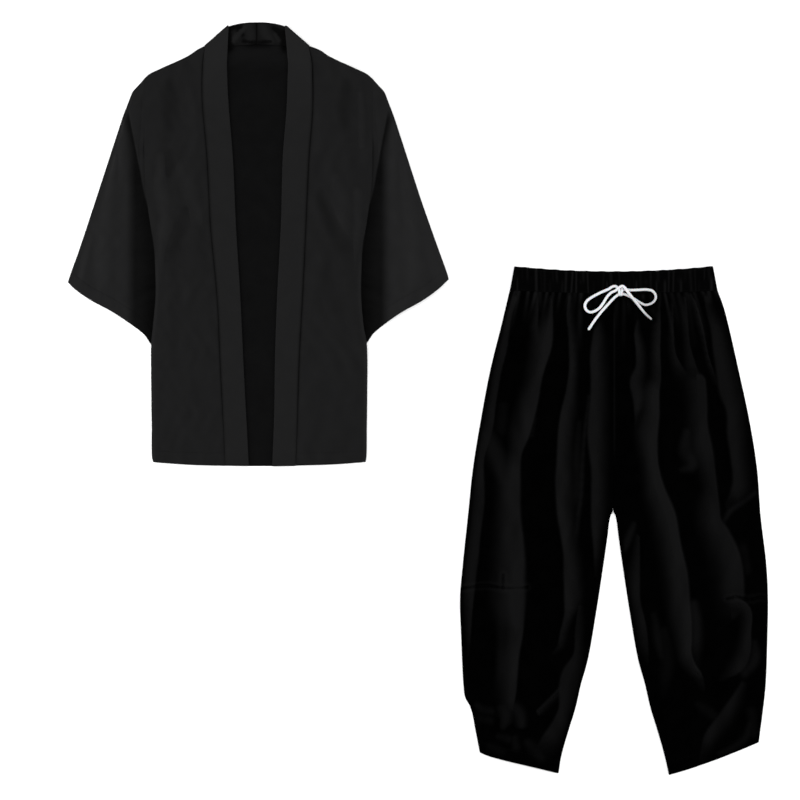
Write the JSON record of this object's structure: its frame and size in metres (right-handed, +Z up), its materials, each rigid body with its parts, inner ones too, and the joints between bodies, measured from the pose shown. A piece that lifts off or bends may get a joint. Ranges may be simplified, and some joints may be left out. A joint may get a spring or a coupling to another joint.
{
  "type": "kimono jacket and trousers set",
  "caption": "Open-front half-sleeve kimono jacket and cropped barrel-leg drawstring trousers in plain black cloth, laid out flat side by side.",
  "frame": {"origin": "on the surface under the set, at the middle of the box round both garments", "axes": "+Z up from the surface the set lies on, +Y towards the jacket's collar and the trousers' waist, +X from the jacket towards the trousers, as the picture shows them"},
  "size_m": [1.237, 1.334, 0.0167],
  "materials": {
    "jacket_cloth": "matt black plain weave with a faint cool sheen",
    "collar_cloth": "matt black plain weave, doubled and pressed",
    "trouser_cloth": "soft deep black weave",
    "waistband_cloth": "soft deep black weave, gathered over elastic",
    "drawstring_cord": "white braided cord, slightly glossy"
  },
  "bodies": {
    "root": {"jacket_back": "jacket_cloth", "jacket_front_right": "jacket_cloth", "jacket_sleeve_right": "jacket_cloth", "jacket_collar_right": "collar_cloth", "jacket_front_left": "jacket_cloth", "jacket_sleeve_left": "jacket_cloth", "jacket_collar_left": "collar_cloth", "leg_front_right": "trouser_cloth", "leg_back_right": "trouser_cloth", "leg_front_left": "trouser_cloth", "leg_back_left": "trouser_cloth", "waistband": "waistband_cloth", "drawstring_loop_right": "drawstring_cord", "drawstring_loop_left": "drawstring_cord", "drawstring_tail_right": "drawstring_cord", "drawstring_tail_left": "drawstring_cord", "bow_knot": "drawstring_cord"}
  },
  "joints": []
}
